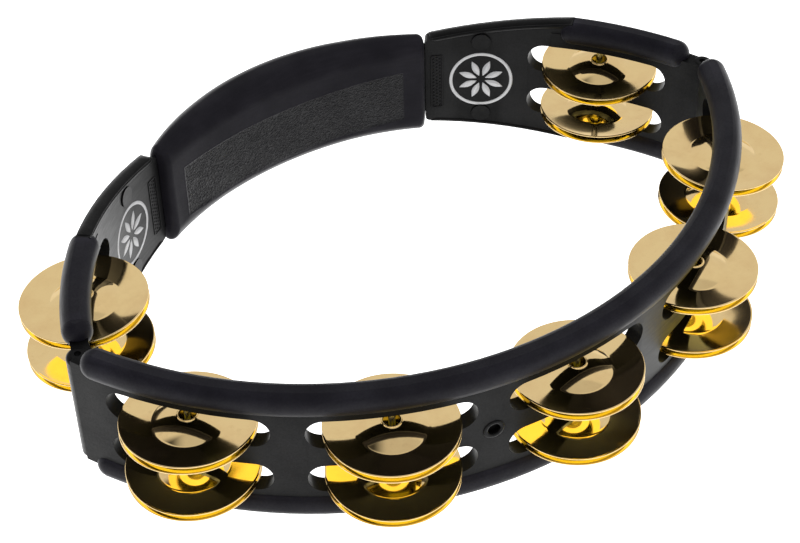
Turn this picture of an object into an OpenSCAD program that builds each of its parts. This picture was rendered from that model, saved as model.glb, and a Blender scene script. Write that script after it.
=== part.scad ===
// Hand-held tambourine: an eye-shaped ring made of two arcs that meet at rounded corners.
// The front arc carries five pairs of stacked slots and each side of the back arc one pair, with two thin
// brass jingles loose on a steel pin in every slot. A soft sleeve round the middle of the back arc is the
// grip. The front faces -Y, the grip lies at +Y, and Z = 0 is the plane the rims rest on. Sizes are in
// millimetres.

/* [Plan] */
// Radius of the front arc, at the middle of the wall
front_r = 157.5; // [152:0.5:162]
// Radius of the back arc, at the middle of the wall
back_r = 150.5; // [147:0.5:154]
// How far the centre of the back arc lies in front of the centre of the front arc
arc_gap = 110; // [107:0.5:113]

/* [Wall] */
// Thickness of the moulded wall
wall_t = 6.6; // [5.6:0.2:7.6]
// Height of the wall between the rims
wall_h = 49; // [48:0.5:52]
// Radius of the rounded post where the two arcs meet
post_r = 4.4; // [4:0.1:4.5]
// Angle from the middle of the front arc to the corner post, whose outer side lies flush with the front wall
post_angle = 66.9; // [66.7:0.1:67.2]
// Radius of the edge at the top and bottom of the post
post_edge_r = 2; // [1:0.5:2]
// Diameter of the shallow gate recess in the front face
gate_d = 5; // [3:0.5:6]

/* [Rims] */
// Diameter of the round rim that caps the wall
rim_d = 11.2; // [10:0.2:12.4]
// Width of the flat strip along the outermost line of a rim
rim_land = 3.6; // [2:0.2:5]
// Angle from the middle of the front arc to the centre of the front rim's rounded end
front_rim_end = 63.7; // [62.5:0.1:63.9]
// Angle from the middle of the back arc to the side rim's end at the grip panel
side_rim_start = 50; // [49:0.5:51]
// Angle from the middle of the back arc to the side rim's end at the corner
side_rim_end = 67; // [65:0.5:67.5]

/* [Slots] */
// Angle between neighbouring jingle stations on the front arc
front_pitch = 25.7; // [24.5:0.1:26]
// Angle from the middle of the back arc to each side station
side_station = 54.5; // [53.5:0.5:55]
// Length of a slot on the front arc
front_slot_l = 60; // [56:0.5:61]
// Length of a slot on the back arc
side_slot_l = 59; // [56:0.5:60]
// Height of a slot
slot_h = 13; // [12.2:0.2:13.6]
// Height of a slot's centre above or below the middle of the wall
slot_z = 10.9; // [10.2:0.1:11.5]

/* [Jingles] */
// Diameter of a jingle
jingle_d = 48; // [44:0.5:48]
// Thickness of the brass sheet
jingle_t = 0.5; // [0.4:0.1:0.7]
// Diameter of the raised dome
dome_d = 26; // [22:0.5:30]
// Rise of the dome from its foot to the centre hole
dome_h = 3; // [2:0.1:3.2]
// Diameter of the centre hole
hole_d = 6.4; // [5:0.2:7]
// Height of the rolled lip round the centre hole
lip_h = 0.5; // [0.3:0.1:0.6]
// How far the outer edge of a jingle bends away from its partner
flare = 1.2; // [0.4:0.1:1.4]
// Angle by which a jingle at rest leans down and outwards
lean = 2.5; // [0:0.5:3]
// Diameter of the pin through each pair of slots
pin_d = 2.5; // [2:0.1:3]

/* [Grip] */
// Angle from the middle of the back arc to the end of the sleeve
grip_end = 25.8; // [25:0.2:26.4]
// Depth of the sleeve at its middle, from its inner face to its outer face
grip_depth = 19; // [17:0.5:21]
// Height of the sleeve
grip_h = 47.6; // [45:0.2:50]
// Radius of the sleeve's long edges
grip_edge_r = 8; // [5:0.5:9]
// Radius of the crowned outer face, which makes the sleeve deepest at its middle
grip_crown_r = 102; // [90:1:120]
// How far the sleeve's inner face stands inside the middle of the wall
grip_inset = 8; // [6:0.5:9]
// Height of the moulded core inside the sleeve
core_h = 32; // [28:1:34]

/* [Grip panels] */
// Thickness of the panel between a side rim and the grip
panel_t = 5.6; // [4.6:0.2:5.8]
// Height of a panel where it meets the grip
panel_low_h = 42; // [40:0.2:44]
// Height of a panel where it meets the side rim
panel_high_h = 59; // [56:0.2:59]
// Radius of a panel's corners next to the grip
panel_corner_r = 2.5; // [1:0.5:4]
// Diameter of the round raised pads on the inner face of a panel
pad_d = 8; // [5:0.5:8]
// Angle from the middle of the back arc to the pads
pad_angle = 35.3; // [34:0.1:38]
// Height of a pad's centre above or below the middle of the panel
pad_z = 18.4; // [17:0.2:19]

/* [Hidden] */
STATIONS = ["left", "front_1", "front_2", "front_3", "front_4", "front_5", "right"];
SLOTS = ["upper", "lower"];
DISCS = ["top", "bottom"];
RIMS = ["front", "left", "right"];
FACES = ["top", "bottom"];

function rim_name(part, face) = str(part, "_rim_", face);
function pin_name(station) = str("pin_", station);
function jingle_name(station, slot, disc) = str("jingle_", station, "_", slot, "_", disc);

$fn = 96;
press = 0.02;          // radial gap round a pressed-in pin
seat = 0.05;           // gap between the wall and the parts moulded or pressed over it
panel_gap = 0.3;       // angle between the end of the grip and the panel
step = 0.2;            // small step between faces of the ring that nearly line up
dimple_d = 2.6;        // diameter of the dimple in the top of a post
corner_lap = 1.2;      // angle by which the back wall runs past the post's middle, into the front wall
side_wall_lead = 3.3;  // angle by which the full wall starts before the middle of the side rim's round end
notch_gap = 0.1;       // angle between a panel's end and the end of the notch for it in the side rim
touch = 0.1;           // gap between the two jingles of a pair at rest
rest_gap = 0.25;       // gap between a leaning jingle's lip and the edge of its slot
relief = 0.4;          // height of the pads above the wall's inner face
dome_steps = 12;       // straight steps that the dome's curve is made of
flare_steps = 8;       // straight steps that the flared edge's curve is made of
through = 40;          // length of a cut that passes right through a wall
panel_spare = 3;       // length by which a panel's outline runs past its end at the side rim
panel_trim = 0.3;      // how far a panel's flat end stands back from the radial cut there

rim_rise = sqrt(pow(rim_d / 2, 2) - pow(rim_land / 2, 2));
overall_h = wall_h + 2 * rim_rise;
jingle_h = jingle_t + dome_h + lip_h;
pair_z = -slot_h / 2 + rest_gap + jingle_h + touch / 2;
edge_h = touch / 2 + flare + jingle_t;
front_reach = front_r + jingle_d / 2 * cos(lean) + edge_h * sin(lean);
back_reach = back_r - arc_gap - grip_inset + grip_depth;
plan_shift = (front_reach - back_reach) / 2;
front_outer = front_r + wall_t / 2;
back_inner = back_r - wall_t / 2;
post_arc = front_outer - post_r;
post_back = atan2(post_arc * sin(post_angle), arc_gap - post_arc * cos(post_angle));
back_wall_end = post_back + corner_lap;
panel_mid = (grip_end + side_rim_start) / 2;
panel_half = back_inner * sin(side_rim_start - panel_mid);

// Height of the underside of a domed disc at radius r, above the plane where two partners meet
function sheet_z(r) = r < dome_d / 2
    ? dome_h * (pow(dome_d, 2) - pow(2 * r, 2)) / (pow(dome_d, 2) - pow(hole_d, 2))
    : flare * pow((r - dome_d / 2) / (jingle_d / 2 - dome_d / 2), 2);

// Radii at which the disc's curve is worked out, from the hole to the edge
disc_radii = concat(
    [for (i = [0 : dome_steps]) hole_d / 2 + (dome_d - hole_d) / 2 * i / dome_steps],
    [for (i = [1 : flare_steps]) dome_d / 2 + (jingle_d - dome_d) / 2 * i / flare_steps]
);

// Moves the whole instrument so that its box is centred on the Z axis and rests on Z = 0
module placed() translate([0, plan_shift, overall_h / 2]) children();

// Sweeps a 2-D section along the front arc, between two angles counted from -Y towards +X
module front_arc(from, to)
    rotate([0, 0, from - 90]) rotate_extrude(angle = to - from) translate([front_r, 0]) children();

// Sweeps a 2-D section along the back arc, between two angles counted from +Y towards +X
module back_arc(from, to)
    translate([0, -arc_gap, 0]) rotate([0, 0, 90 - to]) rotate_extrude(angle = to - from)
        translate([back_r, 0]) children();

// Puts children on the front arc or the back arc, with -Y pointing out of the ring
module on_front(angle) rotate([0, 0, angle]) translate([0, -front_r, 0]) children();
module on_back(angle)
    translate([0, -arc_gap, 0]) rotate([0, 0, 180 - angle]) translate([0, -back_r, 0]) children();

module at_station(station) {
    i = search([station], STATIONS)[0];
    last = len(STATIONS) - 1;
    if (i == 0 || i == last) on_back(i == 0 ? -side_station : side_station) children();
    else on_front((i - last / 2) * front_pitch) children();
}

module both_sides() {
    children();
    mirror([1, 0, 0]) children();
}

module rounded_rect(w, h, r) {
    square([w - 2 * r, h], center = true);
    square([w, h - 2 * r], center = true);
    for (x = [-1, 1], y = [-1, 1]) translate([x * (w / 2 - r), y * (h / 2 - r)]) circle(r);
}

module at_post() rotate([0, 0, post_angle - 90]) translate([post_arc, 0, 0]) children();

// A corner post with rounded ends, grown by a margin
module post(margin) rotate_extrude() intersection() {
    rounded_rect(2 * (post_r + margin), wall_h + 2 * margin, post_edge_r);
    translate([0, -wall_h]) square(2 * wall_h);
}

// The wall and the corner posts, grown on every side by a margin. The back arc's wall is a hair lower than
// the front arc's, which it runs into at the corners.
module wall(margin) {
    front_arc(-post_angle, post_angle) wall_section(0, margin);
    both_sides() {
        back_arc(side_rim_start - side_wall_lead, back_wall_end) wall_section(step, margin);
        at_post() post(margin);
    }
}

// The section of a wall that is lowered at its top and bottom edge and then grown by a margin
module wall_section(lower, margin)
    square([wall_t + 2 * margin, wall_h - 2 * lower + 2 * margin], center = true);

// A panel's inner face seen square on: its height grows evenly from the grip to where it runs into the side
// rim, and its two corners at the grip are round
module panel_outline() {
    slope = (panel_high_h - panel_low_h) / (4 * panel_half);
    end = panel_half - panel_trim;
    low = panel_low_h / 2 + slope * panel_corner_r;
    high = panel_high_h / 2 + slope * panel_spare;
    round_x = end - panel_corner_r;
    round_z = panel_low_h / 2 - panel_corner_r;
    polygon([
        [-panel_half - panel_spare, -high], [round_x, -low], [round_x, low], [-panel_half - panel_spare, high]
    ]);
    translate([round_x - step, -round_z]) square([panel_corner_r + step, 2 * round_z]);
    for (z = [-round_z, round_z]) translate([round_x, z]) circle(panel_corner_r);
}

// A strip as thick as a panel, grown by a margin and taller than the ring, between two angles
module panel_strip(from, to, margin)
    back_arc(from, to) translate([step - wall_t / 2 - margin, -panel_high_h])
        square([panel_t + 2 * margin, 2 * panel_high_h]);

module panel() {
    intersection() {
        panel_strip(grip_end + panel_gap, side_rim_start, 0);
        on_back(panel_mid) rotate([90, 0, 0])
            linear_extrude(height = through, center = true) panel_outline();
    }
}

// The round pads near the top and the bottom edge of a panel
module panel_pads()
    on_back(pad_angle) for (z = [-pad_z, pad_z])
        translate([0, wall_t / 2 + relief, z]) rotate([90, 0, 0]) cylinder(d = pad_d, h = wall_t / 2);

// Two stacked slots with round ends
module slot_pair(l) {
    for (z = [-slot_z, slot_z]) translate([0, 0, z]) {
        cube([l - slot_h, through, slot_h], center = true);
        for (x = [-1, 1]) translate([x * (l - slot_h) / 2, 0, 0]) rotate([90, 0, 0])
            cylinder(d = slot_h, h = through, center = true);
    }
}

// The bar that joins the two panels through the grip, grown by a margin
module core(extra_angle, margin)
    back_arc(-grip_end - extra_angle, grip_end + extra_angle)
        translate([2 * step - wall_t / 2 - margin, -core_h / 2 - margin])
            square([panel_t - 2 * step + 2 * margin, core_h + 2 * margin]);

// The moulded ring: wall, corner posts, grip panels and the core that runs through the grip
module frame() {
    placed() color("#2b2b2d") difference() {
        union() {
            wall(0);
            both_sides() {
                panel();
                panel_pads();
            }
            core(panel_gap + 1, 0);
        }
        for (station = STATIONS) at_station(station) {
            slot_pair(station == "left" || station == "right" ? side_slot_l : front_slot_l);
            cylinder(d = pin_d + 2 * press, h = 2 * wall_h, center = true);
        }
        on_front(-front_pitch / 2) translate([0, -wall_t / 2, 0]) rotate([90, 0, 0])
            cylinder(d = gate_d, h = wall_t / 2, center = true);
        both_sides() for (z = [-wall_h / 2, wall_h / 2])
            at_post() translate([0, 0, z]) sphere(d = dimple_d);
    }
}

// The soft sleeve round the core: its inner face follows the wall and its outer face is crowned
module grip() {
    crown_y = back_reach - grip_crown_r;
    placed() color("#1f1f22") difference() {
        intersection() {
            back_arc(-grip_end, grip_end)
                translate([grip_depth - grip_inset, 0]) rounded_rect(2 * grip_depth, grip_h, grip_edge_r);
            translate([0, crown_y, 0]) rotate_extrude()
                translate([grip_crown_r / 2, 0]) rounded_rect(grip_crown_r, grip_h, grip_edge_r);
        }
        core(1, seat);
    }
}

// A rim's round section with its two flat strips, shrunk by a margin
module rim_section(margin) {
    intersection() {
        circle(d = rim_d - 2 * margin);
        square([2 * rim_d, 2 * (rim_rise - margin)], center = true);
    }
}

// A rim's rounded end: the rim's section, a hair smaller, turned about its upright middle line
module rim_end() rotate_extrude() intersection() {
    rim_section(seat);
    translate([0, -rim_d]) square([rim_d, 2 * rim_d]);
}

// A round rim pressed over the top or the bottom edge of the wall. A side rim's first end is notched for the
// panel that runs into it.
module rim(part, face) {
    placed() color("#232329") mirror([0, 0, face == "bottom" ? 1 : 0]) difference() {
        translate([0, 0, wall_h / 2])
            if (part == "front") {
                front_arc(-front_rim_end, front_rim_end) rim_section(0);
                for (angle = [-front_rim_end, front_rim_end]) on_front(angle) rim_end();
            } else mirror([part == "left" ? 1 : 0, 0, 0]) {
                back_arc(side_rim_start, side_rim_end) rim_section(0);
                for (angle = [side_rim_start, side_rim_end]) on_back(angle) rim_end();
            }
        if (part == "front") wall(seat);
        else mirror([part == "left" ? 1 : 0, 0, 0]) {
            back_arc(side_rim_start - 2 * side_wall_lead, back_wall_end)
                square([wall_t + 2 * seat, wall_h + 2 * seat], center = true);
            panel_strip(side_rim_start - 2 * side_wall_lead, side_rim_start + notch_gap, seat);
            at_post() post(seat);
        }
    }
}

// A steel pin through both slots of a station, hidden in the wall at each end
module pin(station)
    placed() color("#b9b4aa") at_station(station) cylinder(d = pin_d, h = wall_h, center = true);

// A domed brass disc, dome up, with its partner's plane at Z = 0
module disc() rotate_extrude() translate([0, touch / 2]) polygon(concat(
    [for (r = disc_radii) [r, sheet_z(r)]],
    [for (i = [len(disc_radii) - 1 : -1 : 1]) [disc_radii[i], sheet_z(disc_radii[i]) + jingle_t]],
    [[hole_d / 2 + jingle_t, jingle_h], [hole_d / 2, jingle_h]]
));

// One jingle at rest on the lower edge of its slot
module jingle(station, slot, disc)
    placed() color("#d9b25a") at_station(station)
        translate([0, 0, (slot == "upper" ? slot_z : -slot_z) + pair_z]) rotate([lean, 0, 0])
            mirror([0, 0, disc == "bottom" ? 1 : 0]) disc();

frame();
grip();
for (part = RIMS, face = FACES)
    rim(part, face);
for (station = STATIONS)
    pin(station);
for (station = STATIONS, slot = SLOTS, disc = DISCS)
    jingle(station, slot, disc);
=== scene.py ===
"""Looks for a hand-held tambourine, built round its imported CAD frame.

The moulded ring, the rims and the pins are CAD nodes that get their finish here. The brass jingles, the grip,
the marks and beads on the grip panels and the lip round the gate recess are modelled here. Lengths are in
metres and angles in degrees.
"""

import math

import bmesh
import bpy
import numpy as np
from mathutils import Matrix, Vector, noise


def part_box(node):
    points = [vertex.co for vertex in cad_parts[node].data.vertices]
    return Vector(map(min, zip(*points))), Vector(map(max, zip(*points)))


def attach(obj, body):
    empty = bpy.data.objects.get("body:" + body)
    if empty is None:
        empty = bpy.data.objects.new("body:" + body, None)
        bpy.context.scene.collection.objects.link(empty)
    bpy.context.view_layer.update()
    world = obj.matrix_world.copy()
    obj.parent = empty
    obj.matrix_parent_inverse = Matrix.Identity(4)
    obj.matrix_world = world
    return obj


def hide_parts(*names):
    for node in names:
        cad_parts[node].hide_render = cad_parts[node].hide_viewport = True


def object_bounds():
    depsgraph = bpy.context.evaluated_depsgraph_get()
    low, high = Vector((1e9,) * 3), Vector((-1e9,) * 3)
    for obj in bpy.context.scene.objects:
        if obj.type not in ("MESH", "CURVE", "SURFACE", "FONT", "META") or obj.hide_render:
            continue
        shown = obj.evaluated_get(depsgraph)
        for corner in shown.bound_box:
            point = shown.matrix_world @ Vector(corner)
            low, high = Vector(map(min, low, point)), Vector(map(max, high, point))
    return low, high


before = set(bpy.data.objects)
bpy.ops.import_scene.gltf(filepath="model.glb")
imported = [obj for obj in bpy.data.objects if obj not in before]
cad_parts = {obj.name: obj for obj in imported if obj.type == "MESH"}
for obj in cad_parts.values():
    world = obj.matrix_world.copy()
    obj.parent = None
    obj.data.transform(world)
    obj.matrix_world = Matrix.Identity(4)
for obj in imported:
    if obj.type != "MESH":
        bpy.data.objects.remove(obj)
cad_lo, cad_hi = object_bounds()

MM = 0.001

# ---------------------------------------------------------------- the plan, read from the frame

STATIONS = ["left", "front_1", "front_2", "front_3", "front_4", "front_5", "right"]
SLOTS = ["upper", "lower"]
ARC_GAP = 110 * MM       # how far the back arc's centre lies in front of the front arc's centre
MID_Z = (cad_lo.z + cad_hi.z) / 2


def pin_axis(station):
    """Where a station's pin stands, in plan."""
    lo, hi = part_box("pin_" + station)
    return ((lo + hi) / 2).xy


def circle_centre(a, b, c):
    """Centre of the circle through three points in plan."""
    rows = np.array([[b.x - a.x, b.y - a.y], [c.x - a.x, c.y - a.y]]) * 2
    squares = np.array([b.length_squared - a.length_squared, c.length_squared - a.length_squared])
    return Vector(np.linalg.solve(rows, squares))


FRONT_CENTRE = circle_centre(pin_axis("front_1"), pin_axis("front_3"), pin_axis("front_5"))
BACK_CENTRE = FRONT_CENTRE - Vector((0, ARC_GAP))
FRONT_R = (pin_axis("front_3") - FRONT_CENTRE).length
BACK_R = (pin_axis("left") - BACK_CENTRE).length


def back_point(angle, radius, z):
    """A point at an angle from +Y towards +X about the back arc's centre, z up from the ring's mid plane."""
    a = math.radians(angle)
    return Vector((BACK_CENTRE.x + radius * math.sin(a), BACK_CENTRE.y + radius * math.cos(a), MID_Z + z))


# ---------------------------------------------------------------- mesh helpers

def link(mesh, name, material, smooth=True):
    """Makes an object of a bmesh and frees the bmesh."""
    bmesh.ops.recalc_face_normals(mesh, faces=mesh.faces)
    data = bpy.data.meshes.new(name)
    mesh.to_mesh(data)
    mesh.free()
    for polygon in data.polygons:
        polygon.use_smooth = smooth
    data.materials.append(material)
    piece = bpy.data.objects.new(name, data)
    bpy.context.scene.collection.objects.link(piece)
    return piece


def add_grid(mesh, rows, close_rows=False, close_columns=False):
    """Adds quads between rows of points. Returns the vertices, row by row."""
    verts = [[mesh.verts.new(p) for p in row] for row in rows]
    height, width = len(verts), len(verts[0])
    for i in range(height if close_rows else height - 1):
        for j in range(width if close_columns else width - 1):
            a, b = verts[i], verts[(i + 1) % height]
            k = (j + 1) % width
            mesh.faces.new((a[j], a[k], b[k], b[j]))
    return verts


def arc_points(centre, radii, start, end, steps):
    """Points along an elliptical arc in a 2-D section, from one angle to another."""
    angles = [math.radians(start + (end - start) * i / steps) for i in range(steps + 1)]
    return [(centre[0] + radii[0] * math.cos(a), centre[1] + radii[1] * math.sin(a)) for a in angles]


# ---------------------------------------------------------------- material helpers

def new_material(name):
    """An empty node material with a Principled shader. Returns the material and the shader."""
    material = bpy.data.materials.new(name)
    material.use_nodes = True
    tree = material.node_tree
    tree.nodes.clear()
    shader = tree.nodes.new("ShaderNodeBsdfPrincipled")
    output = tree.nodes.new("ShaderNodeOutputMaterial")
    tree.links.new(shader.outputs["BSDF"], output.inputs["Surface"])
    return material, shader


def add_node(material, kind, **values):
    """A node with its inputs set: a socket is linked, anything else is a default value."""
    tree = material.node_tree
    node = tree.nodes.new("ShaderNode" + kind)
    for key, value in values.items():
        name = key.replace("_", " ")
        if name in node.inputs:
            plug(material, node.inputs[name], value)
        else:
            setattr(node, key, value)
    return node


def plug(material, target, value):
    """Links a socket to an input, or sets the input to a value."""
    if isinstance(value, bpy.types.NodeSocket):
        material.node_tree.links.new(value, target)
    else:
        target.default_value = value


def noise_at(material, coords, scale, detail=3.0, roughness=0.5):
    """A noise texture's factor."""
    node = add_node(material, "TexNoise", Vector=coords, Scale=scale, Detail=detail, Roughness=roughness)
    return node.outputs["Factor"] if "Factor" in node.outputs else node.outputs["Fac"]


def spread(material, value, low, high, from_low=0.3, from_high=0.7):
    """Maps a texture's middle range onto low..high."""
    node = add_node(material, "MapRange")
    plug(material, node.inputs["Value"], value)
    for key, number in zip(("From Min", "From Max", "To Min", "To Max"), (from_low, from_high, low, high)):
        node.inputs[key].default_value = number
    return node.outputs["Result"]


def product(material, first, second):
    """The product of two values, each a number or a socket."""
    node = add_node(material, "Math", operation="MULTIPLY")
    plug(material, node.inputs[0], first)
    plug(material, node.inputs[1], second)
    return node.outputs[0]


def blend_colours(material, factor, first, second):
    """The first colour at factor 0 and the second at 1."""
    node = material.node_tree.nodes.new("ShaderNodeMix")
    node.data_type = "RGBA"
    plug(material, node.inputs[0], factor)
    plug(material, node.inputs[6], first)
    plug(material, node.inputs[7], second)
    return node.outputs[2]


def bump(material, height, distance, strength=1.0, below=None):
    """A bumped normal, on top of the one below."""
    node = add_node(material, "Bump", Height=height, Distance=distance, Strength=strength)
    if below is not None:
        plug(material, node.inputs["Normal"], below)
    return node.outputs["Normal"]


def object_coords(material):
    """Texture coordinates in the object's own axes."""
    return add_node(material, "TexCoord").outputs["Object"]


def stretched(material, coords, scale):
    """Texture coordinates scaled by a factor along each axis."""
    node = add_node(material, "Mapping", Vector=coords)
    node.inputs["Scale"].default_value = scale
    return node.outputs["Vector"]


# ---------------------------------------------------------------- materials

# reach of the painted shade: ambient occlusion cuts the plastic's shine where a facing wall is nearer than
# this
SHADE_REACH = 9 * MM          # how near a facing wall makes a place on the plastic a recess
GLANCE = 0.8             # how much the plastic's shine rises towards a glancing view
WORN_LIFT = 2.4          # how much brighter a rubbed edge is than the plastic's lighter tone
PATCH_COLOUR = (0.011, 0.011, 0.012, 1)
PATCH_SHEEN = 4.0        # how much glossier the grained patch is than the rest of the grip
FINE_PEBBLE = 0.8 * MM   # pitch and depth of the fine grain between the pebbles
FINE_PEBBLE_H = 0.6 * MM


def moulded_plastic(name, dark, light, roughness, specular, grain, patch=False):
    """Satin black plastic: a fine moulded grain, slow changes of tone, faint drag marks and rubbed edges.

    Painted shade: ambient occlusion cuts the shine in recesses, so they come out darker than open faces. With
    patch, the "patch" attribute brightens the grained area.
    """
    material, shader = new_material(name)
    coords = object_coords(material)
    cloud = noise_at(material, coords, 60, 4)
    drag = noise_at(material, stretched(material, coords, (1, 1, 9)), 130, 3)
    fine = noise_at(material, coords, 1400, 2)
    tone = product(material, spread(material, cloud, 0, 1), spread(material, drag, 0.4, 1))
    worn = add_node(material, "NewGeometry").outputs["Pointiness"]
    edge = spread(material, worn, 0, 0.5, 0.52, 0.62)
    colour = blend_colours(material, tone, dark, light)
    edge_colour = tuple(WORN_LIFT * c for c in light[:3]) + (1.0,)
    colour = blend_colours(material, edge, colour, edge_colour)
    # painted shade: near facing walls the ambient occlusion cuts the shine and the glancing shine, so
    # recesses and slot walls come out darker
    painted_shade_ao = add_node(material, "AmbientOcclusion", samples=4)
    painted_shade_ao.inputs["Distance"].default_value = SHADE_REACH
    painted_shade_factor = spread(material, painted_shade_ao.outputs["AO"], 0.12, 1, 0.4, 0.92)
    sheen = product(material, painted_shade_factor, spread(material, cloud, 0.8 * specular, 1.2 * specular))
    sheen = product(material, sheen, spread(material, fine, 0.8, 1.2))
    glancing = add_node(material, "LayerWeight", Blend=0.5).outputs["Facing"]
    glancing = spread(material, product(material, glancing, glancing), 0, GLANCE, 0.25, 1)
    relief = bump(material, fine, grain, 0.6, bump(material, drag, 0.05 * MM, 0.35))
    if patch:
        area = add_node(material, "Attribute", attribute_name="patch").outputs["Fac"]
        colour = blend_colours(material, area, colour, PATCH_COLOUR)
        sheen = product(material, sheen, spread(material, area, 1, PATCH_SHEEN, 0, 1))
        pebbles = add_node(material, "TexVoronoi", Vector=coords, Scale=1 / FINE_PEBBLE)
        pebble_height = product(material, pebbles.outputs["Distance"], area)
        relief = bump(material, pebble_height, FINE_PEBBLE_H, 0.7, relief)
    total = add_node(material, "Math", operation="ADD")
    plug(material, total.inputs[0], sheen)
    plug(material, total.inputs[1], product(material, glancing, painted_shade_factor))
    plug(material, shader.inputs["Base Color"], colour)
    plug(material, shader.inputs["Specular IOR Level"], total.outputs[0])
    plug(material, shader.inputs["Roughness"], spread(material, drag, roughness - 0.06, roughness + 0.06))
    plug(material, shader.inputs["Normal"], relief)
    return material


BRASS_CLEAN = (0.90, 0.668, 0.325, 1)
BRASS_DULL = (0.78, 0.52, 0.24, 1)
BRASS_MARK = (0.66, 0.44, 0.2, 1)
# painted reflection: brass seen in brass takes the next colour, and brass seen again in that takes the one
# after, instead of its own colour
BRASS_PAINTED_REFLECTION = (0.88, 0.62, 0.09, 1)   # the brass seen in brass, and seen again in that
BRASS_PAINTED_REFLECTION_AGAIN = (0.84, 0.86, 0.5, 1)
LATHE_LINE_H = 0.0012 * MM


def polished_brass():
    """Stamped, polished brass with lathe lines, a little tarnish and finger marks, and a painted reflection
    tint where brass is seen in brass.
    """
    material, shader = new_material("jingle_brass")
    coords = object_coords(material)
    chance = add_node(material, "ObjectInfo").outputs["Random"]
    shift = add_node(material, "VectorMath", operation="ADD")
    plug(material, shift.inputs[0], coords)
    plug(material, shift.inputs[1], chance)
    place = shift.outputs["Vector"]
    cloud = noise_at(material, place, 95, 5, 0.6)
    spots = noise_at(material, place, 320, 3, 0.6)
    flat = stretched(material, coords, (1, 1, 0))
    reach = add_node(material, "VectorMath", operation="LENGTH")
    plug(material, reach.inputs[0], flat)
    rings = add_node(material, "TexNoise", Scale=5200.0, Detail=2.0)
    rings.noise_dimensions = "1D"
    plug(material, rings.inputs["W"], reach.outputs["Value"])
    lines = rings.outputs[0]
    tarnish = spread(material, cloud, 0, 0.6, 0.42, 0.75)
    mark = spread(material, spots, 0, 0.35, 0.62, 0.8)
    colour = blend_colours(material, tarnish, BRASS_CLEAN, BRASS_DULL)
    colour = blend_colours(material, mark, colour, BRASS_MARK)
    # painted reflection: the colour changes with ray depth, so brass seen in brass is tinted yellower than
    # its own colour
    bounces = add_node(material, "LightPath").outputs["Ray Depth"]
    colour = blend_colours(material, spread(material, bounces, 0, 1, 0.4, 0.6), colour, BRASS_PAINTED_REFLECTION)
    colour = blend_colours(material, spread(material, bounces, 0, 1, 1.4, 1.6), colour, BRASS_PAINTED_REFLECTION_AGAIN)
    plug(material, shader.inputs["Base Color"], colour)
    shader.inputs["Metallic"].default_value = 1.0
    plug(material, shader.inputs["Roughness"], spread(material, cloud, 0.045, 0.11))
    plug(material, shader.inputs["Normal"], bump(material, lines, LATHE_LINE_H, 0.5))
    return material


def drawn_steel():
    """Steel wire with faint lengthwise draw marks."""
    material, shader = new_material("pin_steel")
    coords = object_coords(material)
    marks = noise_at(material, stretched(material, coords, (1, 1, 0.05)), 2600, 2)
    plug(material, shader.inputs["Base Color"],
         blend_colours(material, marks, (0.50, 0.47, 0.43, 1), (0.66, 0.63, 0.58, 1)))
    shader.inputs["Metallic"].default_value = 1.0
    plug(material, shader.inputs["Roughness"], spread(material, marks, 0.2, 0.34))
    plug(material, shader.inputs["Normal"], bump(material, marks, 0.01 * MM, 0.4))
    return material


def printed_white():
    """Pad-printed white ink, thin enough to show a little of the plastic's grain."""
    material, shader = new_material("print_white")
    coords = object_coords(material)
    speckle = noise_at(material, coords, 2400, 2)
    thin = spread(material, speckle, 0, 0.5, 0.6, 0.8)
    plug(material, shader.inputs["Base Color"],
         blend_colours(material, thin, (0.46, 0.46, 0.47, 1), (0.3, 0.3, 0.31, 1)))
    plug(material, shader.inputs["Roughness"], spread(material, speckle, 0.4, 0.55))
    plug(material, shader.inputs["Normal"], bump(material, speckle, 0.02 * MM, 0.5))
    return material


# ---------------------------------------------------------------- jingles

DISC_R = 24 * MM
SHEET_T = 0.5 * MM       # thickness of the brass sheet
DOME_R = 13 * MM
DOME_H = 3 * MM
HOLE_R = 3.2 * MM
LIP_H = 0.5 * MM         # height of the rolled lip above the sheet at the hole
FLARE = 1.2 * MM         # how far the edge bends away from its partner
HALF_TOUCH = 0.05 * MM   # half the gap between two partners
LEAN = 2.5               # how far a pair at rest leans down and outwards, unless it tips its own way
OWN_LEAN = {"upper": {"front_1": -2.3, "front_2": 1.3, "front_3": -0.9, "front_4": -0.9, "right": -3.5},
            "lower": {"front_3": 1.5, "front_4": 1.0}}
WARP = 0.045 * MM        # how far the thin sheet strays from its true shape
WARP_LONG, WARP_SHORT = 15 * MM, 6 * MM    # sizes of the slow and of the quick warps
FOOT = 0.2 * MM          # half the width of the bend at the dome's foot
PROFILE_STEPS = 22       # steps across the dome, and across the flat round it
DISC_STEPS = 128
GOLDEN_TURN = 2.39996    # angle in radians that spreads the discs' own marks over all directions


def sheet_z(r):
    """Height of the underside of a disc above the plane where two partners meet."""
    if r < DOME_R:
        return DOME_H * (DOME_R ** 2 - r ** 2) / (DOME_R ** 2 - HOLE_R ** 2)
    return FLARE * ((r - DOME_R) / (DISC_R - DOME_R)) ** 2


def disc_profile():
    """The closed outline of half a disc: over the top from the lip to the edge, and back underneath."""
    half, steps = SHEET_T / 2, PROFILE_STEPS
    inner, outer = HOLE_R + SHEET_T, DISC_R - half
    radii = [inner + (DOME_R - FOOT - inner) * i / steps for i in range(steps + 1)]
    radii += [DOME_R + FOOT + (outer - DOME_R - FOOT) * i / steps for i in range(steps + 1)]
    lip_z = DOME_H + SHEET_T + LIP_H - half
    lip = arc_points((HOLE_R + half, lip_z), (half, half), 180, 0, 6)
    top = [(r, sheet_z(r) + SHEET_T) for r in radii]
    edge = arc_points((outer, sheet_z(outer) + half), (half, half), 90, -90, 6)[1:-1]
    under = [(r, sheet_z(r)) for r in reversed([HOLE_R] + radii)]
    return lip + top + edge + under


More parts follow.
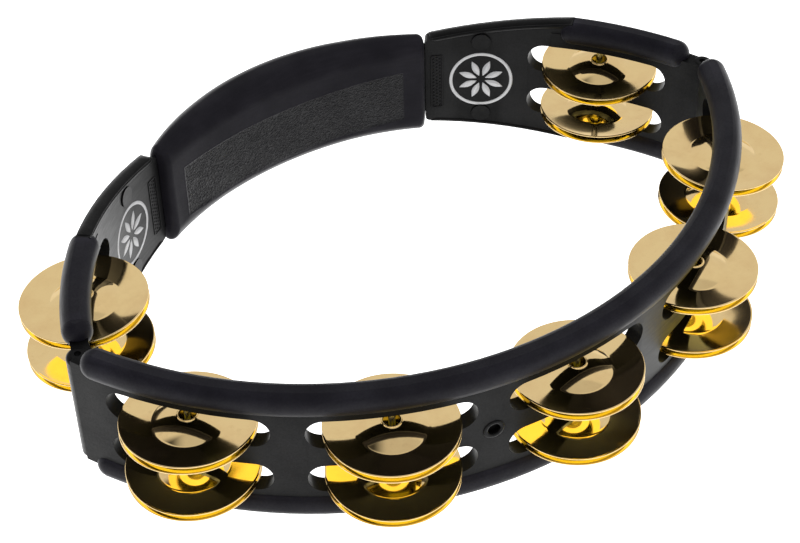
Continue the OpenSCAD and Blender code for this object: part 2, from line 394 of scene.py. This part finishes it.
def disc_mesh(seed, turn):
    """A lathed disc with a slight warp of its own, dome up and then turned into place."""
    profile = disc_profile()
    rows = []
    for i in range(DISC_STEPS):
        a = 2 * math.pi * i / DISC_STEPS
        row = []
        for r, z in profile:
            x, y = r * math.cos(a), r * math.sin(a)
            slow = noise.noise(Vector((x, y, 0)) / WARP_LONG + Vector((seed * 3.7, 0, 0)))
            quick = noise.noise(Vector((x, y, 0)) / WARP_SHORT + Vector((0, seed * 5.3, 0)))
            row.append(turn @ Vector((x, y, z + HALF_TOUCH + WARP * (slow * 0.75 + quick * 0.2))))
        rows.append(row)
    mesh = bmesh.new()
    add_grid(mesh, rows, close_rows=True, close_columns=True)
    return mesh


def pair_centre(station, slot):
    """Where the axis of a pair of jingles crosses the plane in which they meet."""
    boxes = [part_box(f"jingle_{station}_{slot}_{disc}") for disc in ("top", "bottom")]
    low, high = (fn(b[i].z for b in boxes) for i, fn in ((0, min), (1, max)))
    axis = pin_axis(station)
    return Vector((axis.x, axis.y, (low + high) / 2))


def make_jingles(material):
    """Two discs back to back for each slot, each on its own body and in place of its CAD node."""
    seed = 0
    for station in STATIONS:
        axis = pin_axis(station)
        centre = BACK_CENTRE if station in ("left", "right") else FRONT_CENTRE
        outward = (axis - centre).normalized()
        turn = Matrix.Rotation(math.atan2(outward.x, -outward.y), 3, "Z")
        for slot in SLOTS:
            lean = Matrix.Rotation(math.radians(OWN_LEAN[slot].get(station, LEAN)), 3, "X")
            for disc in ("top", "bottom"):
                seed += 1
                node = f"jingle_{station}_{slot}_{disc}"
                spin = Matrix.Rotation(seed * GOLDEN_TURN, 3, "Z")
                flip = Matrix.Rotation(math.pi if disc == "bottom" else 0, 3, "X")
                piece = link(disc_mesh(seed, turn @ lean @ flip @ spin), "brass_" + node, material)
                piece.location = pair_centre(station, slot)
                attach(piece, node)
                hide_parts(node)


# ---------------------------------------------------------------- grip

GRIP_END = 25.8          # angle from the middle of the back arc to the end of the grip
GRIP_IN = 8 * MM         # how far the grip's inner face stands inside the middle of the wall
GRIP_DEPTH = 19 * MM     # depth at the middle
GRIP_CROWN_R = 102 * MM  # radius of the crowned outer face
GRIP_H = 47.6 * MM
GRIP_EDGE = 8 * MM       # radius of the long edges
GRIP_END_EDGE = 2.6 * MM
PATCH_END = 22           # angle from the middle of the back arc to the end of the grained patch
PATCH_TOP, PATCH_LOW = 7.4 * MM, -17.2 * MM
PATCH_SAG = 2.2 * MM     # how much higher the patch lies at its ends than at its middle
PATCH_SINK = 0.22 * MM   # how deep the grooves of the grain start
PATCH_EDGE = 0.5 * MM    # width of the slope into the patch
PATCH_RIM_H, PATCH_RIM_W = 0.1 * MM, 0.35 * MM    # the low ridge round the patch
GROOVE_SHARE = 0.45      # how much of a pebble's pitch the slope to its groove takes
PEBBLE = 1.05 * MM       # pitch of the leather grain
PEBBLE_H = 0.2 * MM
GRIP_GRID = 0.36 * MM
GRIP_STEPS = (92, 12, 16)    # steps up the inner face, round an edge and down the outer face


def grip_depth(angle):
    """Depth of the grip at an angle, from its inner face to its crowned outer face."""
    a = math.radians(angle)
    back = BACK_R - GRIP_IN + GRIP_DEPTH - GRIP_CROWN_R
    side = back * math.sin(a)
    return back * math.cos(a) + math.sqrt(GRIP_CROWN_R ** 2 - side ** 2) - (BACK_R - GRIP_IN)


def grip_outline(depth, height, inner_steps, edge_steps, outer_steps):
    """The grip's section, from the low end of its inner face up, over the top, down and under."""
    edge_d, edge_z = min(GRIP_EDGE, depth * 0.48), GRIP_EDGE
    d0, d1, z1 = edge_d, depth - edge_d, height / 2 - edge_z
    radii = (edge_d, edge_z)
    outline = [(0, -z1 + 2 * z1 * i / inner_steps) for i in range(inner_steps)]
    outline += arc_points((d0, z1), radii, 180, 90, edge_steps)[:-1]
    outline += [(d0 + (d1 - d0) * i / 3, height / 2) for i in range(3)]
    outline += arc_points((d1, z1), radii, 90, 0, edge_steps)[:-1]
    outline += [(depth, z1 - 2 * z1 * i / outer_steps) for i in range(outer_steps)]
    outline += arc_points((d1, -z1), radii, 0, -90, edge_steps)[:-1]
    outline += [(d1 + (d0 - d1) * i / 3, -height / 2) for i in range(3)]
    outline += arc_points((d0, -z1), radii, -90, -180, edge_steps)[:-1]
    return outline


def smooth_step(x):
    """0 up to 0, 1 from 1 on, and smooth between them."""
    x = max(0.0, min(1.0, x))
    return x * x * (3 - 2 * x)


def patch_margin(angle, z):
    """How far a place on the inner face lies inside the outline of the grained patch."""
    lift = PATCH_SAG * (angle / PATCH_END) ** 2
    along = (PATCH_END - abs(angle)) * math.pi / 180 * (BACK_R - GRIP_IN)
    return min(along, PATCH_TOP + lift - z, z - PATCH_LOW - lift)


def on_inner_face(place):
    """Whether a place on the grip belongs to its inner face."""
    return (place.xy - BACK_CENTRE).length < BACK_R - GRIP_IN + MM


def grain_depth(angle, z):
    """How deep the inner face is sunk by the pebbled patch at a place."""
    margin = patch_margin(angle, z)
    inside = smooth_step(margin / PATCH_EDGE)
    if margin < -0.6 * MM:
        return 0.0
    rim = -PATCH_RIM_H * math.exp(-((margin / PATCH_RIM_W) ** 2))
    if inside == 0:
        return rim
    s = angle * math.pi / 180 * (BACK_R - GRIP_IN)
    distances = noise.voronoi(Vector((s, z, 0)) / PEBBLE)[0]
    groove = 1 - smooth_step((distances[1] - distances[0]) / GROOVE_SHARE)
    return rim + inside * (PATCH_SINK * 0.5 + PEBBLE_H * groove)


def make_grip(material):
    """The soft sleeve: crowned outside, rounded all round, with a sunk patch of leather grain inside."""
    inner_r = BACK_R - GRIP_IN
    columns = int(2 * math.radians(GRIP_END) * inner_r / GRIP_GRID)
    angles = [-GRIP_END + 2 * GRIP_END * i / columns for i in range(columns + 1)]
    rows = []
    for angle in angles:
        from_end = (GRIP_END - abs(angle)) * math.pi / 180 * inner_r
        gap = max(0.0, GRIP_END_EDGE - from_end)
        inset = GRIP_END_EDGE - math.sqrt(max(0.0, GRIP_END_EDGE ** 2 - gap ** 2))
        depth = grip_depth(angle)
        outline = grip_outline(depth - 2 * inset, GRIP_H - 2 * inset, *GRIP_STEPS)
        row = []
        for d, z in outline:
            sunk = grain_depth(angle, z) if d < 0.2 * MM else 0.0
            row.append(back_point(angle, inner_r + inset + d + sunk, z))
        rows.append(row)
    mesh = bmesh.new()
    patch = mesh.verts.layers.float.new("patch")
    verts = add_grid(mesh, rows, close_columns=True)
    for angle, row in zip(angles, verts):
        for vert in row:
            inside = patch_margin(angle, vert.co.z - MID_Z) if on_inner_face(vert.co) else -1
            vert[patch] = smooth_step(inside / PATCH_EDGE)
    for end in (verts[0], verts[-1]):
        hub = mesh.verts.new(sum((v.co for v in end), Vector()) / len(end))
        for i, vert in enumerate(end):
            mesh.faces.new((vert, end[(i + 1) % len(end)], hub))
    piece = link(mesh, "grip_sleeve", material)
    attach(piece, "ring")
    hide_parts("grip")


# ---------------------------------------------------------------- marks on the grip panels

PANEL_FACE_R = BACK_R - 3.1 * MM   # radius of a panel's inner face
MARK_ANGLE = 35.3        # angle from the middle of the back arc to the mark's centre
MARK_Z = -0.8 * MM       # height of the marks' centres above the ring's mid plane
MARK_R = 13.5 * MM       # outer radius of the printed ring
MARK_LINE = 1.35 * MM
MARK_STEPS = 96
INK_T = 0.06 * MM        # thickness of the print, and how deep the marks are rooted in the panel
PETALS = 8
PLAQUE_ANGLE = 28.0
PLAQUE_W, PLAQUE_H = 5.2 * MM, 27 * MM
PLAQUE_BORDER, PLAQUE_RISE = 0.45 * MM, 0.3 * MM
PLAQUE_INNER_R, PLAQUE_OUTER_R = 0.4 * MM, 0.8 * MM    # corner radii of the border's outlines
STUD_COLUMNS, STUD_ROWS = 3, 15


def on_panel(side, angle, s, z, out):
    """A point on a panel's inner face: s along the arc and z up from a mark's centre, standing out by out."""
    turn = side * angle + math.degrees(s / PANEL_FACE_R)
    return back_point(turn, PANEL_FACE_R - out, z)


def add_plate(mesh, side, angle, outline, z0, thickness):
    """A thin plate on a panel's face with a flat outline of (s, z) points."""
    loops = []
    for out in (-INK_T, thickness):
        loops.append([mesh.verts.new(on_panel(side, angle, s, z + z0, out)) for s, z in outline])
    count = len(outline)
    for i in range(count):
        k = (i + 1) % count
        mesh.faces.new((loops[0][i], loops[0][k], loops[1][k], loops[1][i]))
    mesh.faces.new(loops[1])
    mesh.faces.new(loops[0])


def add_band(mesh, side, angle, outer, inner, z0, thickness):
    """A thin closed band on a panel's face between two outlines with the same number of points."""
    rings = []
    for outline, out in ((outer, -INK_T), (outer, thickness), (inner, thickness), (inner, -INK_T)):
        rings.append([on_panel(side, angle, s, z + z0, out) for s, z in outline])
    add_grid(mesh, rings, close_rows=True, close_columns=True)


def petal_outline(turn):
    """A pointed petal that starts near the mark's centre."""
    start, end, width, steps = 0.14 * MARK_R, 0.74 * MARK_R, 0.105 * MARK_R, 12
    half = [((end - start) * i / steps, width * math.sin(math.pi * i / steps)) for i in range(steps)]
    points = [(start + x, y) for x, y in half] + [(end - x, -y) for x, y in half]
    c, s = math.cos(turn), math.sin(turn)
    return [(x * c - y * s, x * s + y * c) for x, y in points]


def make_mark(side, name, material):
    """The printed mark: a ring round an eight-petalled rosette."""
    mesh = bmesh.new()
    turns = [2 * math.pi * i / MARK_STEPS for i in range(MARK_STEPS)]
    circle = [(math.cos(a), math.sin(a)) for a in turns]
    outer = [(MARK_R * x, MARK_R * y) for x, y in circle]
    inner = [((MARK_R - MARK_LINE) * x, (MARK_R - MARK_LINE) * y) for x, y in circle]
    add_band(mesh, side, MARK_ANGLE, outer, inner, MARK_Z, INK_T)
    for i in range(PETALS):
        add_plate(mesh, side, MARK_ANGLE, petal_outline(2 * math.pi * (i + 0.5) / PETALS), MARK_Z, INK_T)
    piece = link(mesh, name, material)
    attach(piece, "ring")


def rectangle(width, height, radius, steps=5):
    """A rectangle with rounded corners, as (s, z) points round its centre."""
    points = []
    for i, (x, z) in enumerate(((1, 1), (-1, 1), (-1, -1), (1, -1))):
        centre = (x * (width / 2 - radius), z * (height / 2 - radius))
        points += arc_points(centre, (radius, radius), 90 * i, 90 * i + 90, steps)
    return points


def make_plaque(side, name, material):
    """A raised border with rows of small diamond studs, moulded into the panel beside the grip."""
    mesh = bmesh.new()
    inner = rectangle(PLAQUE_W - 2 * PLAQUE_BORDER, PLAQUE_H - 2 * PLAQUE_BORDER, PLAQUE_INNER_R)
    outer = rectangle(PLAQUE_W, PLAQUE_H, PLAQUE_OUTER_R)
    add_band(mesh, side, PLAQUE_ANGLE, outer, inner, MARK_Z, PLAQUE_RISE)
    pitch_s = (PLAQUE_W - 2.6 * PLAQUE_BORDER) / STUD_COLUMNS
    pitch_z = (PLAQUE_H - 3 * PLAQUE_BORDER) / STUD_ROWS
    for column in range(STUD_COLUMNS):
        for row in range(STUD_ROWS):
            s = (column - (STUD_COLUMNS - 1) / 2) * pitch_s
            z = (row - (STUD_ROWS - 1) / 2 + (0.25 if column % 2 else -0.25)) * pitch_z
            add_stud(mesh, side, s, z, pitch_s * 0.46, pitch_z * 0.44)
    piece = link(mesh, name, material, smooth=False)
    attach(piece, "ring")


def add_stud(mesh, side, s, z, half_w, half_h):
    """A four-sided pyramid with its top cut off."""
    corners = ((half_w, 0), (0, half_h), (-half_w, 0), (0, -half_h))
    rings = []
    for share, out in ((1.0, -INK_T), (0.45, PLAQUE_RISE)):
        places = [(s + share * a, z + share * b + MARK_Z) for a, b in corners]
        rings.append([mesh.verts.new(on_panel(side, PLAQUE_ANGLE, *place, out)) for place in places])
    for i in range(4):
        k = (i + 1) % 4
        mesh.faces.new((rings[0][i], rings[0][k], rings[1][k], rings[1][i]))
    mesh.faces.new(rings[1])
    mesh.faces.new(reversed(rings[0]))


# ---------------------------------------------------------------- beads and the gate's lip

WALL_T = 6.6 * MM                   # thickness of the moulded wall
PANEL_OUTER_R = BACK_R + 2.5 * MM   # radius of a panel's outer face
PANEL_FROM, PANEL_TO = 25.8, 50.0   # angles between which a panel's height grows evenly
PANEL_LOW_H, PANEL_HIGH_H = 42 * MM, 59 * MM
BEAD_FROM, BEAD_TO = 27.0, 49.6
BEAD_PROUD = 0.28 * MM   # how far a bead stands out from the panel's faces
BEAD_RISE, BEAD_DROP = 0.5 * MM, 1.5 * MM    # how far it reaches above and below the panel's edge
BEAD_SHOULDER = 0.7 * MM                     # where its crown starts, below the panel's edge
BEAD_STEPS = 90
BEAD_TAPER, BEAD_SINK = 1.2, 2.0    # angles over which a bead tapers at the grip and sinks at the rim
BEAD_SUNK = 0.45                    # its size where it meets the rim
LIP_R, LIP_RISE = 3.2 * MM, 0.45 * MM
LIP_STEPS = 48


def panel_edge(angle, radius):
    """Height of a panel's top edge above the ring's mid plane at an angle and a radius."""
    middle = (PANEL_FROM + PANEL_TO) / 2
    half = (BACK_R - WALL_T / 2) * math.sin(math.radians(PANEL_TO - middle))
    share = radius * math.sin(math.radians(angle - middle)) / half
    return (PANEL_LOW_H + PANEL_HIGH_H) / 4 + share * (PANEL_HIGH_H - PANEL_LOW_H) / 4


def bead_section(size):
    """Points round a bead: place across the panel from 0 to 1, step out, height above the panel's edge."""
    crown = arc_points((0, 0), (1, 1), 180, 0, 12)
    proud, drop = BEAD_PROUD * size, BEAD_DROP * size
    points = [(0.5 + x / 2, x * proud, (z * (BEAD_RISE + BEAD_SHOULDER) - BEAD_SHOULDER) * size)
              for x, z in crown]
    return points + [(1, proud, -drop), (0, -proud, -drop)]


def bead_size(angle):
    """How much of its full size a bead has at an angle: it tapers at the grip and sinks at the rim."""
    start = math.sin(math.pi / 2 * min(1.0, 0.15 + (angle - BEAD_FROM) / BEAD_TAPER))
    sunk = max(0.0, 1 - (BEAD_TO - angle) / BEAD_SINK)
    return start - (1 - BEAD_SUNK) * (1 - math.cos(math.pi / 2 * sunk))


def make_beads(side, name, material):
    """The rounded beads along the top and the bottom edge of a panel, which run into the side rims."""
    mesh = bmesh.new()
    for sign in (1, -1):
        rows = []
        for i in range(BEAD_STEPS + 1):
            angle = BEAD_FROM + (BEAD_TO - BEAD_FROM) * i / BEAD_STEPS
            row = []
            for across, out, rise in bead_section(bead_size(angle)):
                radius = PANEL_FACE_R + across * (PANEL_OUTER_R - PANEL_FACE_R) + out
                row.append(back_point(side * angle, radius, sign * (panel_edge(angle, radius) + rise)))
            rows.append(row)
        verts = add_grid(mesh, rows, close_columns=True)
        for end in (verts[0], verts[-1]):
            mesh.faces.new(end)
    piece = link(mesh, name, material)
    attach(piece, "ring")


def make_gate_lip(material):
    """The low raised ring round the gate recess, half way between two stations on the front face."""
    outward = ((pin_axis("front_2") + pin_axis("front_3")) / 2 - FRONT_CENTRE).normalized()
    along = Vector((-outward.y, outward.x, 0))
    centre = (FRONT_CENTRE + outward * (FRONT_R + WALL_T / 2)).to_3d() + Vector((0, 0, MID_Z))
    out = outward.to_3d()
    section = arc_points((LIP_R, 0), (2 * LIP_RISE, LIP_RISE), 0, 315, 7)
    rows = []
    for i in range(LIP_STEPS):
        a = 2 * math.pi * i / LIP_STEPS
        arm = along * math.cos(a) + Vector((0, 0, math.sin(a)))
        rows.append([centre + arm * r + out * rise for r, rise in section])
    mesh = bmesh.new()
    add_grid(mesh, rows, close_rows=True, close_columns=True)
    piece = link(mesh, "gate_lip", material)
    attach(piece, "ring")


# ---------------------------------------------------------------- finish on the CAD nodes

def dress(node, material):
    """Gives a CAD node its finish."""
    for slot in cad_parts[node].material_slots:
        slot.link = "OBJECT"
        slot.material = material


def dress_frame(plastic, rim, steel):
    """Gives the moulded ring, the rims and the pins their finishes."""
    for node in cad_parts:
        if node == "frame":
            dress(node, plastic)
        elif "_rim_" in node:
            dress(node, rim)
        elif node.startswith("pin_"):
            dress(node, steel)


# ---------------------------------------------------------------- stage, light and camera

CAMERA_AZIMUTH, CAMERA_ELEVATION, CAMERA_ROLL = -34.36, 41.68, -1.54
CAMERA_DISTANCE = 734.4 * MM
CAMERA_TARGET = Vector((-14.38 * MM, -5.4 * MM, MID_Z))
CAMERA_LENS, CAMERA_SENSOR = 87.27, 36
FLOOR_GLOW = 1.7         # the floor is overexposed, so brass seen in brass stays yellow
FLOOR_HALF, FLOOR_CELLS = 6.0, 8
FLOOR_DROP = 0.1 * MM    # how far the floor lies under the rims
BACK_BOX, SIDE_BOX, LEFT_WALL, HORIZON, ROOM = 0.76, 0.6, 0.45, 0.9, 0.05    # brightness of each part


def make_floor():
    """A wide pale floor under the rims."""
    material, shader = new_material("floor_pale")
    coords = object_coords(material)
    cloud = noise_at(material, coords, 3, 2)
    plug(material, shader.inputs["Base Color"],
         blend_colours(material, cloud, (0.29, 0.29, 0.29, 1), (0.31, 0.31, 0.31, 1)))
    shader.inputs["Roughness"].default_value = 0.9
    shader.inputs["Specular IOR Level"].default_value = 0.0
    shader.inputs["Emission Color"].default_value = (1, 1, 1, 1)
    shader.inputs["Emission Strength"].default_value = FLOOR_GLOW
    mesh = bmesh.new()
    places = [-FLOOR_HALF + 2 * FLOOR_HALF * i / FLOOR_CELLS for i in range(FLOOR_CELLS + 1)]
    grid = [[Vector((x, y, -FLOOR_DROP)) for x in places] for y in places]
    add_grid(mesh, grid)
    floor = link(mesh, "floor", material, smooth=False)


def make_world():
    """A studio: bright behind and to the right of the instrument, dim overhead on the camera's side."""
    world = bpy.data.worlds.new("studio")
    bpy.context.scene.world = world
    world.use_nodes = True
    world.node_tree.nodes.clear()
    coords = add_node(world, "TexCoord").outputs["Generated"]
    a = math.radians(CAMERA_AZIMUTH)
    aside = component(world, coords, (math.cos(a), math.sin(a), 0))
    ahead = component(world, coords, (math.sin(a), -math.cos(a), 0))
    height = component(world, coords, (0, 0, 1))
    back_box = soft_edge(world, ahead, -0.04, -0.26, BACK_BOX)
    side_box = soft_edge(world, aside, -0.48, -0.08, SIDE_BOX)
    left_wall = soft_edge(world, aside, -0.62, -0.85, LEFT_WALL)
    horizon = soft_edge(world, height, 0.42, 0.2, HORIZON)
    level = ROOM
    for part in (back_box, side_box, left_wall, horizon):
        brighter = add_node(world, "Math", operation="MAXIMUM")
        plug(world, brighter.inputs[0], part)
        plug(world, brighter.inputs[1], level)
        level = brighter.outputs[0]
    background = add_node(world, "Background", Strength=1.0)
    plug(world, background.inputs["Color"], level)
    output = world.node_tree.nodes.new("ShaderNodeOutputWorld")
    plug(world, output.inputs["Surface"], background.outputs[0])


def component(owner, vector, axis):
    """The part of a vector along an axis."""
    node = add_node(owner, "VectorMath", operation="DOT_PRODUCT")
    plug(owner, node.inputs[0], vector)
    node.inputs[1].default_value = axis
    return node.outputs["Value"]


def soft_edge(owner, value, start, end, level):
    """0 before start, the level after end, and smooth between them. Start may be the larger one."""
    node = add_node(owner, "MapRange", interpolation_type="SMOOTHSTEP")
    plug(owner, node.inputs["Value"], value)
    (low, at_low), (high, at_high) = sorted([(start, 0), (end, level)])
    for key, number in (("From Min", low), ("From Max", high), ("To Min", at_low), ("To Max", at_high)):
        node.inputs[key].default_value = number
    return node.outputs["Result"]


def make_light(name, azimuth, elevation, distance, size, power):
    """A square softbox aimed at the middle of the instrument."""
    data = bpy.data.lights.new(name, "AREA")
    data.shape = "SQUARE"
    data.size = size
    data.energy = power
    light = bpy.data.objects.new(name, data)
    bpy.context.scene.collection.objects.link(light)
    back = direction(azimuth, elevation)
    light.location = Vector((0, 0, MID_Z)) + back * distance
    light.rotation_euler = back.to_track_quat("Z", "Y").to_euler()
    light.visible_glossy = False


def direction(azimuth, elevation):
    """Unit vector from the object towards a viewer; azimuth 0 stands on the -Y side."""
    a, e = math.radians(azimuth), math.radians(elevation)
    return Vector((math.sin(a) * math.cos(e), -math.cos(a) * math.cos(e), math.sin(e)))


def make_camera():
    """The camera, turned about its own axis by the roll."""
    data = bpy.data.cameras.new("camera")
    data.lens, data.sensor_width = CAMERA_LENS, CAMERA_SENSOR
    data.sensor_fit = "HORIZONTAL"
    data.clip_start, data.clip_end = 0.01, 50    # metres
    camera = bpy.data.objects.new("camera", data)
    bpy.context.scene.collection.objects.link(camera)
    back = direction(CAMERA_AZIMUTH, CAMERA_ELEVATION)
    a, roll = math.radians(CAMERA_AZIMUTH), math.radians(CAMERA_ROLL)
    level = Vector((math.cos(a), math.sin(a), 0))
    upright = back.cross(level)
    right = level * math.cos(roll) + upright * math.sin(roll)
    up = upright * math.cos(roll) - level * math.sin(roll)
    rotation = Matrix((right, up, back)).transposed().to_4x4()
    camera.matrix_world = Matrix.Translation(CAMERA_TARGET + back * CAMERA_DISTANCE) @ rotation
    bpy.context.scene.camera = camera


# ---------------------------------------------------------------- build

frame_plastic = moulded_plastic(
    "frame_plastic", dark=(0.0018, 0.0018, 0.0019, 1), light=(0.005, 0.005, 0.0052, 1),
    roughness=0.38, specular=0.082, grain=0.02 * MM)
rim_plastic = moulded_plastic(
    "rim_plastic", dark=(0.006, 0.0055, 0.008, 1), light=(0.011, 0.0105, 0.015, 1),
    roughness=0.48, specular=0.12, grain=0.004 * MM)
grip_rubber = moulded_plastic(
    "grip_rubber", dark=(0.0095, 0.009, 0.0115, 1), light=(0.0155, 0.0145, 0.0185, 1),
    roughness=0.4, specular=0.032, grain=0.008 * MM, patch=True)

dress_frame(frame_plastic, rim_plastic, drawn_steel())
make_jingles(polished_brass())
make_grip(grip_rubber)
ink = printed_white()
for side, name in ((-1, "left"), (1, "right")):
    make_mark(side, f"mark_{name}", ink)
    make_plaque(side, f"plaque_{name}", frame_plastic)
    make_beads(side, f"edge_beads_{name}", frame_plastic)
make_gate_lip(frame_plastic)

make_floor()
make_world()
make_light("softbox_top", azimuth=-10, elevation=75, distance=1.6, size=1.2, power=14)
make_camera()
bpy.context.scene.view_settings.view_transform = "Standard"
